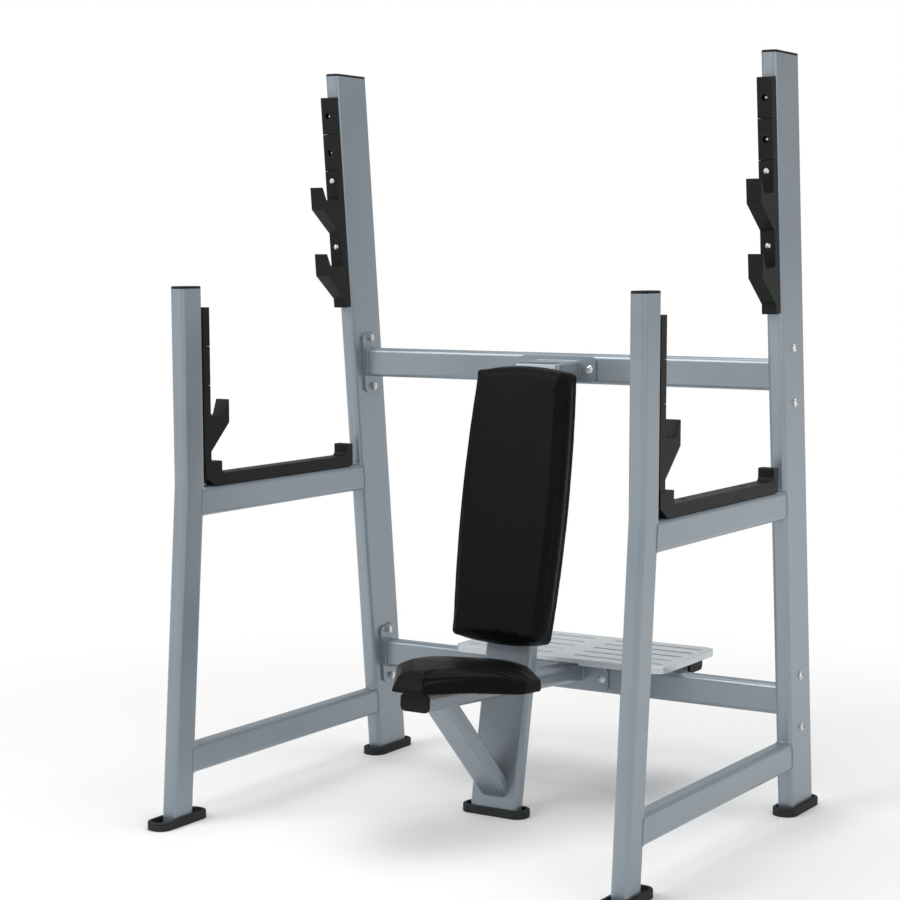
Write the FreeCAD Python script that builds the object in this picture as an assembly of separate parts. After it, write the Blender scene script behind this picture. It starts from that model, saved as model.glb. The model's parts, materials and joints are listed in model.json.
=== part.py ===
"""Seated shoulder-press bench for an Olympic bar, with a spotter's platform.

Frame: millimetres, +Z up, the sitter faces -Y, +X is to the right as seen from
the front.  The origin is on the floor at the centre of the whole footprint.
"""
import FreeCAD, Part
import math
import os
from FreeCAD import Vector

# ---- overall sizes -------------------------------------------------------
overall_width = 1240.0        # outer face to outer face of the side frames
overall_depth = 1151.0        # front boots to the rear edge of the platform
overall_height = 1794.0       # floor to the top of the rear posts' caps
front_height = 1267.0         # floor to the top of the front posts' caps

# ---- tube sections -------------------------------------------------------
tube_thickness = 40.0         # narrow side of every tube
wide_tube = 130.0             # wide side of the rear posts, column and stub
front_tube = 74.0             # wide side of the front posts
cross_tube = 74.0             # wide side of both crossbars
side_tube = 70.0              # wide side of the side bars
seat_tube_width = 75.0        # wide side of seat tube, brace, strut, platform tube
tube_wall = 3.0
tube_corner = 12.0

# ---- side frames ---------------------------------------------------------
rear_lean = 5.5               # degrees, the rear posts lean forward
front_lean = 4.75             # degrees, the front posts lean back to the bend
front_bend_height = 801.5
front_bend_radius = 300.0
upper_bar_bottom = 725.5
lower_bar_bottom = 113.5

# ---- crossbars and their joints ------------------------------------------
upper_cross_height = 1061.0   # centre line
lower_cross_height = 275.5
flange_length = 153.0
flange_width = 66.0
flange_thickness = 6.0
flange_corner = 14.0
flange_bolt_spacing = 128.0
saddle_length = 216.0
saddle_width = 62.0
saddle_bolt_spacing = 180.0

# ---- centre column, seat tube and brace ----------------------------------
column_setback = 417.9        # rear posts' feet to the column's foot
column_lean = 10.75           # degrees, the column leans back
column_top_drop = 10.0        # column's top below the top of the stub
seat_tube_reach = 348.0       # column's foot to the seat tube's front end
seat_tube_tilt = 4.1          # degrees, front end up
seat_tube_height = 337.0      # centre line at the front end
brace_foot_height = 52.5      # brace centre line on the column
brace_head_setback = 88.0     # brace centre line behind the seat tube's end

# ---- boots and caps ------------------------------------------------------
boot_floor = 8.0
boot_height = 20.0
boot_wall = 8.5
boot_side_play = 2.5          # inside of the rim to the tube's narrow sides
boot_width = tube_thickness + 2 * (boot_side_play + boot_wall)
boot_corner = 28.0
boot_rim_edge = 3.0
boot_sole_edge = 1.5
boot_length = wide_tube + 46.0
cap_height = 6.0
cap_plug = 15.0
cap_edge_share = 0.55         # rounding as a share of a cap's height
cap_overlap = 1.5             # seat tube's cap beyond the tube, each side
plug_clearance = 0.3

# ---- bar hooks -----------------------------------------------------------
hook_width = 36.0
strip_thickness = 25.0
hook_reach = 69.0             # strip face to the outer face of the lip
lip_height = 55.0
lip_flat = 4.0
lip_ramp = 14.0
notch_depth = 36.0
hook_drop = 66.0              # sloping underside of a hook
hook_foot = 23.0              # strip below the lowest underside
hook_pitch = 167.0            # lower lip to upper lip of a rear hook
hook_head = 30.0              # strip above the top lip
hook_bolt_rise = 12.0         # bolt above the lip beside it
spacer_length = 92.0
seam_gap = 0.6
hook_edge = 2.0               # rounding of the edges across a hook
rear_hook_bottom = 1206.5
front_hook_bottom = 853.0

# ---- catch trays ---------------------------------------------------------
tray_base = 27.0
tray_wall_height = 30.0
tray_front_block = 62.0
tray_rear_block = 26.0
tray_length = 601.0
tray_chamfer = 36.0
tray_chamfer_rise = 22.0
tray_fillet = 10.0
tray_rim_fillet = 3.0
tray_counterbore = 6.0
tray_screw_shares = (0.25, 0.75)   # screws along the tray's length

# ---- back pad and seat ---------------------------------------------------
pad_plate = 5.0
pad_board = 12.0
board_inset = 9.0
board_clearance = 0.5
bracket_length = 50.0
bracket_corner = 8.0
bracket_end = 15.0            # screw to the bracket's end
bracket_reach = 25.0          # screw beyond the side of the tube that carries it
back_bracket_levels = (-0.28, 0.28)
seat_bracket_levels = (-0.25, 0.1)
back_skirt_gap = 7.0          # pad's edge in front of the column
seat_skirt_gap = 4.0          # pad's edge above the seat tube
back_bottom = 411.0
back_top = 1050.6
back_waist = 270.0
back_end_width = 246.0
back_thickness = 71.0
back_corner = 20.0
back_end_bow = 9.0
pad_edge = 9.0
seat_nose_width = 82.0
seat_width = 354.0
seat_nose_overhang = 41.0     # nose ahead of the seat tube's end
seat_flare_length = 222.0
seat_side_length = 76.0
seat_tail_width = 170.0
seat_length = 410.0
seat_thickness = 66.0
seat_edge = 14.0
seat_nose_corner = 16.0
seat_side_corner = 32.0
seat_tail_corner = 25.0

# ---- platform ------------------------------------------------------------
platform_width = 604.0
platform_depth = 310.0
platform_height = 340.0
platform_reach = 175.8        # rear edge behind the rear posts' feet
platform_sheet = 3.0
platform_lip = 17.0
platform_corner = 30.0
platform_edge = 2.0
tube_end_gap = 1.0            # cross tube's caps to the inside of the lip
lip_relief_width = 136.0
lip_relief_height = 5.0
slot_rows = 5
slot_pitch = 56.0
slot_length = 252.0
slot_width = 12.0
slot_centre_gap = 56.0
platform_tube_setback = 112.0  # platform tube centre ahead of the rear edge
arm_width = 60.0
arm_offset = 150.0
arm_corner = 4.0

# ---- fasteners -----------------------------------------------------------
m10_radius = 5.0
m8_radius = 4.0
hole_play = 0.5
washer_radius = 10.5
washer_thickness = 2.0
nut_across = 16.0
nut_height = 8.0
head_height = 6.0             # button heads of the M10 bolts
button_radius = 7.0           # button heads of the M8 screws
button_height = 4.0
nut_tail = 2.0                # bolt end beyond its nut
tap_depth = 14.0              # tapped hole behind a post's or bar's wall
screw_bite = 10.0             # screw end inside a post or bar
counterbore_depth = 12.0
post_overrun = 100.0          # tube drawn longer than the post, then cut level

# ---- derived places ------------------------------------------------------
post_x = (overall_width - tube_thickness) / 2
rear_post_y = overall_depth / 2 - platform_reach
front_post_y = -overall_depth / 2 + boot_length / 2
column_y = rear_post_y - column_setback
sides = {"left": -1, "right": 1}
X_AXIS = Vector(1, 0, 0)
Y_AXIS = Vector(0, 1, 0)
Z_AXIS = Vector(0, 0, 1)
HUGE = 4000.0

parts = {}


def tan(degrees):
    return math.tan(math.radians(degrees))


def cos(degrees):
    return math.cos(math.radians(degrees))


def sin(degrees):
    return math.sin(math.radians(degrees))


# ---- shape helpers -------------------------------------------------------
def rounded_rectangle(width, depth, radius):
    """Closed wire in XY, centred on the origin, with four round corners."""
    half_w = width / 2
    half_d = depth / 2
    edges = []
    corners = [(half_w, half_d), (-half_w, half_d), (-half_w, -half_d), (half_w, -half_d)]
    for index, (x, y) in enumerate(corners):
        centre = Vector(x - math.copysign(radius, x), y - math.copysign(radius, y), 0)
        start = 90.0 * index
        edges.append(Part.makeCircle(radius, centre, Z_AXIS, start, start + 90.0))
    wire = []
    for index, arc in enumerate(edges):
        following = edges[(index + 1) % 4]
        wire.append(arc)
        wire.append(Part.LineSegment(arc.valueAt(arc.LastParameter),
                                     following.valueAt(following.FirstParameter)).toShape())
    return Part.Wire(wire)


def placed(shape, origin, x_dir, z_dir):
    """Move a shape drawn about the origin to an origin, X and Z directions."""
    rotation = FreeCAD.Rotation(x_dir, z_dir.cross(x_dir), z_dir, "ZXY")
    result = shape.copy()
    result.Placement = FreeCAD.Placement(origin, rotation).multiply(shape.Placement)
    return result


def bar(start, end, x_dir, width, depth, radius):
    """Solid bar from start to end; its width is measured along x_dir."""
    along = end - start
    profile = Part.Face(rounded_rectangle(width, depth, radius))
    solid = profile.extrude(Z_AXIS * along.Length)
    return placed(solid, start, x_dir, along.normalize())


def tube(start, end, x_dir, width, depth):
    """The filled outside of a tube and its bore."""
    outside = bar(start, end, x_dir, width, depth, tube_corner)
    bore = bar(start, end, x_dir, width - 2 * tube_wall, depth - 2 * tube_wall,
               tube_corner - tube_wall)
    return outside, bore


def slab(low, high):
    """A very wide level slab between two heights."""
    block = Part.makeBox(HUGE, HUGE, high - low)
    block.translate(Vector(-HUGE / 2, -HUGE / 2, low))
    return block


def side_outline(points, width, x_centre):
    """Extrude a closed outline of (y, z) points to a width about x_centre."""
    corners = [Vector(x_centre - width / 2, y, z) for y, z in points]
    face = Part.Face(Part.makePolygon(corners + [corners[0]]))
    return face.extrude(X_AXIS * width)


def cylinder(centre, axis, radius, length):
    return Part.makeCylinder(radius, length, centre, axis)


def hexagon_prism(centre, axis, across, height, x_dir):
    """Hexagonal prism that starts at centre and runs along axis."""
    corners = []
    for index in range(7):
        angle = math.radians(60 * index)
        reach = across / math.sqrt(3)
        corners.append(Vector(reach * math.cos(angle), reach * math.sin(angle), 0))
    prism = Part.Face(Part.makePolygon(corners)).extrude(Z_AXIS * height)
    return placed(prism, centre, x_dir, axis)


def button_head(centre, axis, radius, height, x_dir):
    """Domed screw head with a hexagonal socket, standing along axis."""
    dome_radius = (radius ** 2 + height ** 2) / (2 * height)
    dome = Part.makeSphere(dome_radius, centre + axis * (height - dome_radius))
    head = cylinder(centre, axis, radius, height).common(dome)
    socket_depth = height * 0.6
    socket = hexagon_prism(centre + axis * (height - socket_depth), axis, radius * 0.75,
                           height, x_dir)
    return head.cut(socket)


def fillet_where(shape, radius, test):
    """Round the edges whose mid-point satisfies a test."""
    chosen = []
    for edge in shape.Edges:
        middle = edge.valueAt((edge.FirstParameter + edge.LastParameter) / 2)
        if test(edge, middle):
            chosen.append(edge)
    return shape.makeFillet(radius, chosen) if chosen else shape


# ---- places along the leaning members -------------------------------------
def rear_axis(z):
    return rear_post_y - z * tan(rear_lean)


def front_axis(z):
    return front_post_y + min(z, front_bend_height) * tan(front_lean)


def column_axis(z):
    return column_y + z * tan(column_lean)


rear_half = wide_tube / 2 / cos(rear_lean)
front_half = front_tube / 2
upper_cross_y = rear_axis(upper_cross_height)
lower_cross_y = rear_axis(lower_cross_height)
post_inner_x = overall_width / 2 - tube_thickness


# ---- side frames -----------------------------------------------------------
def rear_post_bodies(x):
    low = -post_overrun
    high = overall_height + post_overrun
    start = Vector(x, rear_axis(low), low)
    end = Vector(x, rear_axis(high), high)
    return tube(start, end, X_AXIS, tube_thickness, wide_tube)


def front_path(x):
    """Centre line of a front post: straight, a gentle bend, then upright."""
    tangent = front_bend_radius * tan(front_lean / 2)
    bend = Vector(x, front_axis(front_bend_height), front_bend_height)
    incline = Vector(0, sin(front_lean), cos(front_lean))
    bend_start = bend - incline * tangent
    bend_end = bend + Z_AXIS * tangent
    bend_side = Vector(0, -cos(front_lean / 2), sin(front_lean / 2))
    sagitta = front_bend_radius * (1 / cos(front_lean / 2) - 1)
    bend_middle = bend + bend_side * sagitta
    start = bend_start - incline * (front_bend_height + post_overrun)
    end = bend_end + Z_AXIS * (front_height - front_bend_height)
    return start, bend_start, bend_middle, bend_end, end, incline


def front_post_bodies(x):
    start, bend_start, bend_middle, bend_end, end, incline = front_path(x)
    path = Part.Wire([Part.LineSegment(start, bend_start).toShape(),
                      Part.Arc(bend_start, bend_middle, bend_end).toShape(),
                      Part.LineSegment(bend_end, end).toShape()])
    bodies = []
    for inset in (0.0, tube_wall):
        outline = rounded_rectangle(tube_thickness - 2 * inset, front_tube - 2 * inset,
                                    tube_corner - inset)
        profile = placed(outline, start, X_AXIS, incline)
        bodies.append(path.makePipeShell([profile], True, False))
    return bodies


def end_cap(post, bore, top):
    """Domed cover on a level-cut post, with a plug that fits its bore."""
    rim = post.common(slab(top - cap_height, top))
    rim = fillet_where(rim, cap_height * cap_edge_share,
                       lambda edge, middle: abs(middle.z - top) < 0.01)
    plug = bore.common(slab(top - cap_height - cap_plug, top - cap_height))
    centre = plug.BoundBox.Center
    shrink = FreeCAD.Matrix()
    shrink.scale(1 - 2 * plug_clearance / plug.BoundBox.XLength,
                 1 - 2 * plug_clearance / plug.BoundBox.YLength, 1.0)
    plug.translate(centre * -1)
    plug = plug.transformGeometry(shrink)
    plug.translate(centre)
    return rim.fuse(plug).removeSplitter()


def boot(length, width, x, y):
    """Oblong rubber boot with a raised rim, long side along Y."""
    radius = min(boot_corner, width / 2 - 1.0)
    body = Part.Face(rounded_rectangle(width, length, radius)).extrude(Z_AXIS * boot_height)
    body = fillet_where(body, boot_rim_edge,
                        lambda edge, middle: abs(middle.z - boot_height) < 0.01)
    body = fillet_where(body, boot_sole_edge, lambda edge, middle: abs(middle.z) < 0.01)
    recess = Part.Face(rounded_rectangle(width - 2 * boot_wall, length - 2 * boot_wall,
                                         radius - boot_wall))
    recess.translate(Z_AXIS * boot_floor)
    body = body.cut(recess.extrude(Z_AXIS * boot_height))
    body.translate(Vector(x, y, 0))
    return body


def cross_bolt_places(height):
    """Bolt heights and depths where a crossbar flange meets a rear post."""
    places = []
    for step in (-0.5, 0.5):
        rise = step * flange_bolt_spacing * cos(rear_lean)
        places.append((rear_axis(height + rise), height + rise))
    return places


cross_bolts = []
cross_washers = []
cross_nuts = []
rear_outsides = {}
front_outsides = {}

for side, sign in sides.items():
    x = sign * post_x
    outside, bore = rear_post_bodies(x)
    post_top = overall_height - cap_height
    body = outside.cut(bore).common(slab(boot_floor, post_top))
    rear_outsides[side] = outside.common(slab(boot_floor, post_top))
    for height in (upper_cross_height, lower_cross_height):
        for y, z in cross_bolt_places(height):
            hole_start = Vector(x - sign * tube_thickness, y, z)
            hole = cylinder(hole_start, X_AXIS * sign, m10_radius + hole_play,
                            2 * tube_thickness)
            body = body.cut(hole)
    parts[side + "_rear_post"] = body
    parts[side + "_rear_cap"] = end_cap(outside, bore, overall_height)

    outside, bore = front_post_bodies(x)
    post_top = front_height - cap_height
    parts[side + "_front_post"] = outside.cut(bore).common(slab(boot_floor, post_top))
    front_outsides[side] = outside.common(slab(boot_floor, post_top))
    parts[side + "_front_cap"] = end_cap(outside, bore, front_height)

    parts[side + "_rear_boot"] = boot(boot_length, boot_width, x, rear_post_y)
    parts[side + "_front_boot"] = boot(boot_length, boot_width, x, front_post_y)

    for name, bottom in (("upper", upper_bar_bottom), ("lower", lower_bar_bottom)):
        z = bottom + side_tube / 2
        start = Vector(x, front_axis(z), z)
        end = Vector(x, rear_axis(z), z)
        outside, bore = tube(start, end, X_AXIS, tube_thickness, side_tube)
        body = outside.cut(bore).cut(front_outsides[side]).cut(rear_outsides[side])
        parts[side + "_" + name + "_side_bar"] = body


# ---- crossbars --------------------------------------------------------------
def end_flange(sign, y, z):
    """Plate on a crossbar's end, turned to follow the leaning post."""
    plate = Part.Face(rounded_rectangle(flange_width, flange_length, flange_corner))
    plate = plate.extrude(Z_AXIS * flange_thickness)
    for step in (-0.5, 0.5):
        centre = Vector(0, step * flange_bolt_spacing, 0)
        plate = plate.cut(cylinder(centre, Z_AXIS, m10_radius + hole_play, flange_thickness))
    across = Vector(0, cos(rear_lean), sin(rear_lean))
    start_x = sign * post_inner_x - (flange_thickness if sign > 0 else 0.0)
    return placed(plate, Vector(start_x, y, z), across, X_AXIS)


def saddle_plate(y, z):
    """Bolted plate on the front of a crossbar; y is its rear face."""
    plate = Part.Face(rounded_rectangle(saddle_length, saddle_width, flange_corner))
    plate = plate.extrude(Z_AXIS * flange_thickness)
    for step in (-0.5, 0.5):
        centre = Vector(step * saddle_bolt_spacing, 0, 0)
        plate = plate.cut(cylinder(centre, Z_AXIS, m10_radius + hole_play, flange_thickness))
    return placed(plate, Vector(0, y, z), X_AXIS, Y_AXIS * -1)


flanges = []
saddle_bolts = []
saddle_nuts = []
cross_places = {"upper": (upper_cross_y, upper_cross_height),
                "lower": (lower_cross_y, lower_cross_height)}
for name, (y, z) in cross_places.items():
    reach = post_inner_x - flange_thickness
    outside, bore = tube(Vector(-reach, y, z), Vector(reach, y, z), Y_AXIS,
                         tube_thickness, cross_tube)
    body = outside.cut(bore)
    front_y = y - tube_thickness / 2
    rear_y = y + tube_thickness / 2
    for step in (-0.5, 0.5):
        x = step * saddle_bolt_spacing
        hole = cylinder(Vector(x, front_y - 1.0, z), Y_AXIS, m10_radius + hole_play,
                        tube_thickness + 2.0)
        body = body.cut(hole)
        seat = Vector(x, front_y - flange_thickness, z)
        shank_length = flange_thickness + tube_thickness + nut_height + nut_tail
        shank = cylinder(seat, Y_AXIS, m10_radius, shank_length)
        head = button_head(seat, Y_AXIS * -1, washer_radius, head_height, X_AXIS)
        saddle_bolts.append(head.fuse(shank).removeSplitter())
        nut = hexagon_prism(Vector(x, rear_y, z), Y_AXIS, nut_across, nut_height, X_AXIS)
        saddle_nuts.append(nut.cut(cylinder(Vector(x, rear_y, z), Y_AXIS, m10_radius,
                                            nut_height)))
    parts[name + "_crossbar"] = body
    parts[name + "_saddle_plate"] = saddle_plate(front_y, z)
    for side, sign in sides.items():
        flanges.append(end_flange(sign, y, z))
        outward = X_AXIS * sign
        for bolt_y, bolt_z in cross_bolt_places(z):
            outer = Vector(sign * overall_width / 2, bolt_y, bolt_z)
            inner = Vector(sign * (post_inner_x - flange_thickness), bolt_y, bolt_z)
            washer = cylinder(outer, outward, washer_radius, washer_thickness)
            washer = washer.cut(cylinder(outer, outward, m10_radius + hole_play,
                                         washer_thickness))
            cross_washers.append(washer)
            under_head = outer + outward * washer_thickness
            head = button_head(under_head, outward, washer_radius - 1.5, head_height, Y_AXIS)
            tail = inner - outward * (nut_height + nut_tail)
            shank = cylinder(tail, outward, m10_radius, (under_head - tail).Length)
            cross_bolts.append(head.fuse(shank).removeSplitter())
            nut = hexagon_prism(inner - outward * nut_height, outward, nut_across,
                                nut_height, Y_AXIS)
            cross_nuts.append(nut.cut(cylinder(inner - outward * nut_height, outward,
                                               m10_radius, nut_height)))


# ---- centre column, stub, strut, seat tube and brace ------------------------
column_top = upper_cross_height + tube_thickness / 2 - column_top_drop
tube_low = -post_overrun
tube_high = column_top + post_overrun
outside, bore = tube(Vector(0, column_axis(tube_low), tube_low),
                     Vector(0, column_axis(tube_high), tube_high),
                     X_AXIS, wide_tube, tube_thickness)
column_outside = outside.common(slab(boot_floor, column_top + cap_height))
parts["centre_column"] = outside.cut(bore).common(slab(boot_floor, column_top))
parts["column_cap"] = end_cap(outside, bore, column_top + cap_height)
centre_boot = boot(boot_length, boot_width, 0, 0)
centre_boot.rotate(Vector(0, 0, 0), Z_AXIS, 90)
centre_boot.translate(Vector(0, column_axis((boot_floor + boot_height) / 2), 0))
parts["centre_boot"] = centre_boot

stub_y, stub_z = cross_places["upper"]
plate_front = stub_y - tube_thickness / 2 - flange_thickness
outside, bore = tube(Vector(0, column_axis(stub_z), stub_z), Vector(0, plate_front, stub_z),
                     X_AXIS, wide_tube, tube_thickness)
parts["top_stub"] = outside.cut(bore).cut(column_outside)

# The strut behind the column is in line with the seat tube in front of it.
seat_front_y = column_y - seat_tube_reach
lower_plate_front = cross_places["lower"][0] - tube_thickness / 2 - flange_thickness
seat_dir = Vector(0, -cos(seat_tube_tilt), sin(seat_tube_tilt))
seat_up = Vector(0, sin(seat_tube_tilt), cos(seat_tube_tilt))
seat_front = Vector(0, seat_front_y, seat_tube_height)
seat_root = seat_front - seat_dir * (lower_plate_front - seat_front_y + post_overrun)
outside, bore = tube(seat_root, seat_front, X_AXIS, seat_tube_width, tube_thickness)
behind_column = Part.makeBox(HUGE, HUGE, HUGE)
behind_column.translate(Vector(-HUGE / 2, 0, -HUGE / 2))
behind_column.rotate(Vector(0, 0, 0), X_AXIS, -column_lean)
behind_column.translate(Vector(0, column_axis(0), 0))
seat_outside = outside.cut(column_outside).cut(behind_column)
parts["seat_tube"] = outside.cut(bore).cut(column_outside).cut(behind_column)
behind_plate = Part.makeBox(HUGE, HUGE, HUGE)
behind_plate.translate(Vector(-HUGE / 2, lower_plate_front, -HUGE / 2))
strut = outside.cut(bore).cut(column_outside).common(behind_column)
parts["lower_strut"] = strut.cut(behind_plate)

cap_flange = bar(seat_front, seat_front + seat_dir * cap_height, X_AXIS,
                 seat_tube_width + 2 * cap_overlap, tube_thickness + 2 * cap_overlap,
                 tube_corner + cap_overlap)
cap_face = seat_front + seat_dir * cap_height
cap_flange = fillet_where(cap_flange, cap_height * cap_edge_share,
                          lambda edge, middle: abs((middle - cap_face).dot(seat_dir)) < 0.01)
inner_width = seat_tube_width - 2 * tube_wall - 2 * plug_clearance
inner_depth = tube_thickness - 2 * tube_wall - 2 * plug_clearance
plug = bar(seat_front - seat_dir * cap_plug, seat_front, X_AXIS, inner_width, inner_depth,
           tube_corner - tube_wall)
parts["seat_tube_cap"] = cap_flange.fuse(plug).removeSplitter()

brace_foot = Vector(0, column_axis(brace_foot_height), brace_foot_height)
brace_head = seat_front - seat_dir * brace_head_setback
outside, bore = tube(brace_foot, brace_head, X_AXIS, seat_tube_width, tube_thickness)
parts["brace"] = outside.cut(bore).cut(column_outside).cut(seat_outside)


# ---- pads ---------------------------------------------------------------------
def curved_outline(corners, bulges):
    """Face from (x, y) corners; each side bows outwards by its bulge."""
    edges = []
    for index, (x, y) in enumerate(corners):
        start = Vector(x, y, 0)
        end = Vector(*corners[(index + 1) % len(corners)], 0)
        edges.append(outline_side(start, end, bulges[index]))
    return Part.Face(Part.Wire(edges))


def outline_side(start, end, bulge):
    if abs(bulge) < 0.01:
        return Part.LineSegment(start, end).toShape()
    chord = end - start
    side_dir = Vector(chord.y, -chord.x, 0).normalize()
    middle = (start + end) * 0.5 + side_dir * bulge
    return Part.Arc(start, middle, end).toShape()


def inset_corners(corners, inset):
    """Corners of a counter-clockwise outline after its sides move inwards."""
    moved = []
    for index, (x, y) in enumerate(corners):
        here = Vector(x, y, 0)
        arriving = here - Vector(*corners[index - 1], 0)
        leaving = Vector(*corners[(index + 1) % len(corners)], 0) - here
        first = Z_AXIS.cross(arriving).normalize()
        second = Z_AXIS.cross(leaving).normalize()
        target = here + (first + second) * (inset / (1 + first.dot(second)))
        moved.append((target.x, target.y))
    return moved


def outline_prism(outline, inset, low, high):
    """Upright prism on a round-cornered outline, drawn in by an inset."""
    corners, bulges, radii = outline
    corners = inset_corners(corners, inset)
    prism = curved_outline(corners, bulges).extrude(Z_AXIS * (high - low))
    middle_height = (high - low) / 2
    for (x, y), radius in zip(corners, radii):
        prism = fillet_where(prism, radius - inset, lambda edge, middle: math.hypot(
            middle.x - x, middle.y - y) < 0.5 and abs(middle.z - middle_height) < 0.01)
    prism.translate(Z_AXIS * low)
    return prism


def pad_set(outline, origin, x_dir, z_dir, skirt_gap, thickness, edge_radius):
    """Board and pad, stacked along z_dir from a mounting surface at origin."""
    board_top = pad_plate + pad_board
    board = outline_prism(outline, board_inset, pad_plate, board_top)
    pocket = outline_prism(outline, board_inset - board_clearance, 0.0, board_top)
    top = skirt_gap + thickness
    foam = outline_prism(outline, 0.0, skirt_gap, top)
    foam = fillet_where(foam, edge_radius, lambda edge, middle: abs(middle.z - top) < 0.01)
    foam = foam.cut(pocket)
    return placed(board, origin, x_dir, z_dir), placed(foam, origin, x_dir, z_dir)


def mount_plate(screw_spacing, origin, x_dir, z_dir):
    """Plate welded on a tube, with one screw hole near each end."""
    outline = rounded_rectangle(screw_spacing + 2 * bracket_end, bracket_length, bracket_corner)
    plate = Part.Face(outline).extrude(Z_AXIS * pad_plate)
    screws = []
    for step in (-0.5, 0.5):
        centre = Vector(step * screw_spacing, 0, 0)
        plate = plate.cut(cylinder(centre, Z_AXIS, m8_radius + hole_play, pad_plate))
        head = button_head(centre, Z_AXIS * -1, button_radius, button_height, X_AXIS)
        shank = cylinder(centre, Z_AXIS, m8_radius, pad_plate + pad_board - 1.0)
        screws.append(placed(head.fuse(shank).removeSplitter(), origin, x_dir, z_dir))
    return placed(plate, origin, x_dir, z_dir), screws


def screw_holes(board, screws):
    for screw in screws:
        board = board.cut(screw)
    return board


pad_screws = []

# The back pad stands on the column's front face.
column_up = Vector(0, sin(column_lean), cos(column_lean))
column_front = Vector(0, -cos(column_lean), sin(column_lean))
pad_middle = (back_bottom + back_top) / 2
back_length = (back_top - back_bottom) / cos(column_lean)
back_origin = Vector(0, column_axis(pad_middle), pad_middle) + column_front * (tube_thickness / 2)
back_half = back_length / 2
back_swell = (back_waist - back_end_width) / 2
half_end = back_end_width / 2
back_corners = [(-half_end, -back_half), (half_end, -back_half),
                (half_end, back_half), (-half_end, back_half)]
back_bulges = [back_end_bow, back_swell, back_end_bow, back_swell]
back_outline = (back_corners, back_bulges, [back_corner] * 4)
board, foam = pad_set(back_outline, back_origin, X_AXIS * -1, column_front, back_skirt_gap,
                      back_thickness, pad_edge)
back_screw_spacing = wide_tube + 2 * bracket_reach
back_brackets = []
for level in back_bracket_levels:
    origin = back_origin + column_up * (level * back_length)
    plate, screws = mount_plate(back_screw_spacing, origin, X_AXIS * -1, column_front)
    back_brackets.append(plate)
    board = screw_holes(board, screws)
    pad_screws += screws
parts["back_brackets"] = Part.makeCompound(back_brackets)
parts["back_board"] = board
parts["back_pad"] = foam

# The seat lies on the seat tube; its outline runs from the tail to the nose.
tail_y = -seat_length / 2
nose_y = seat_length / 2
shoulder_y = nose_y - seat_flare_length
seat_half_outline = [(seat_tail_width / 2, tail_y, seat_tail_corner),
                     (seat_width / 2, shoulder_y - seat_side_length, seat_side_corner),
                     (seat_width / 2, shoulder_y, seat_side_corner),
                     (seat_nose_width / 2, nose_y, seat_nose_corner)]
seat_whole = seat_half_outline + [(-x, y, radius)
                                  for x, y, radius in reversed(seat_half_outline)]
seat_corners = [(x, y) for x, y, radius in seat_whole]
seat_radii = [radius for x, y, radius in seat_whole]
seat_outline = (seat_corners, [0.0] * len(seat_corners), seat_radii)
seat_top_of_tube = seat_front + seat_up * (tube_thickness / 2)
seat_origin = seat_top_of_tube - seat_dir * (seat_length / 2 - seat_nose_overhang)
board, foam = pad_set(seat_outline, seat_origin, X_AXIS * -1, seat_up, seat_skirt_gap,
                      seat_thickness, seat_edge)
seat_screw_spacing = seat_tube_width + 2 * bracket_reach
seat_brackets = []
for shift in seat_bracket_levels:
    origin = seat_origin + seat_dir * (shift * seat_length)
    plate, screws = mount_plate(seat_screw_spacing, origin, X_AXIS * -1, seat_up)
    seat_brackets.append(plate)
    board = screw_holes(board, screws)
    pad_screws += screws
parts["seat_brackets"] = Part.makeCompound(seat_brackets)
parts["seat_board"] = board
parts["seat_pad"] = foam


# ---- bar hooks ------------------------------------------------------------------
def hook_outline(lips):
    """Side outline (out, up) of a strip with one upturned hook per lip height."""
    thickness = strip_thickness
    outer = thickness + hook_reach
    points = [(0.0, 0.0), (thickness, 0.0)]
    for lip_top in lips:
        points.append((thickness, lip_top - lip_height - hook_drop))
        points.append((outer, lip_top - lip_height))
        points.append((outer, lip_top))
        points.append((outer - lip_flat, lip_top))
        points.append((outer - lip_flat - lip_ramp, lip_top - notch_depth))
        points.append((thickness, lip_top - notch_depth))
    top = lips[-1] + hook_head + hook_bolt_rise / 2
    points.append((thickness, top))
    points.append((0.0, top))
    return points, top


def strip_frame(side_sign, x, foot_y, foot_z, lean):
    """Placement of a strip: local X out of the post, local Y up along it."""
    up = Vector(0, -sin(lean), cos(lean))
    out = Vector(0, side_sign * cos(lean), side_sign * sin(lean))
    return FreeCAD.Placement(Vector(x, foot_y, foot_z),
                             FreeCAD.Rotation(out, up, out.cross(up), "XYZ"))


def strip_block(points, frame, bolt_heights, counterbore):
    """A hook or spacer, with a bolt hole at each height along the strip."""
    corners = [Vector(u, v, -hook_width / 2) for u, v in points]
    block = Part.Face(Part.makePolygon(corners + [corners[0]])).extrude(Z_AXIS * hook_width)
    block = fillet_where(block, hook_edge, long_cross_edge)
    thickness = points[1][0]
    for height in bolt_heights:
        block = block.cut(cylinder(Vector(0, height, 0), X_AXIS, m8_radius + hole_play,
                                   thickness + 1.0))
        if counterbore > 0:
            start = Vector(thickness - counterbore, height, 0)
            block = block.cut(cylinder(start, X_AXIS, button_radius + hole_play,
                                       counterbore + 1.0))
    block.Placement = frame
    return block


def long_cross_edge(edge, middle):
    """Edges across the strip, away from the post's face."""
    return abs(middle.z) < 0.01 and middle.x > 1.0 and edge.Length > hook_width - 0.1


def strip_screw(frame, height, seat, length):
    """Button-head screw through a strip, with its head at a seat depth."""
    centre = Vector(seat, height, 0)
    head = button_head(centre, X_AXIS, button_radius, button_height, Y_AXIS)
    shank = cylinder(Vector(seat - length, height, 0), X_AXIS, m8_radius, length)
    screw = head.fuse(shank).removeSplitter()
    screw.Placement = frame
    return screw


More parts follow.
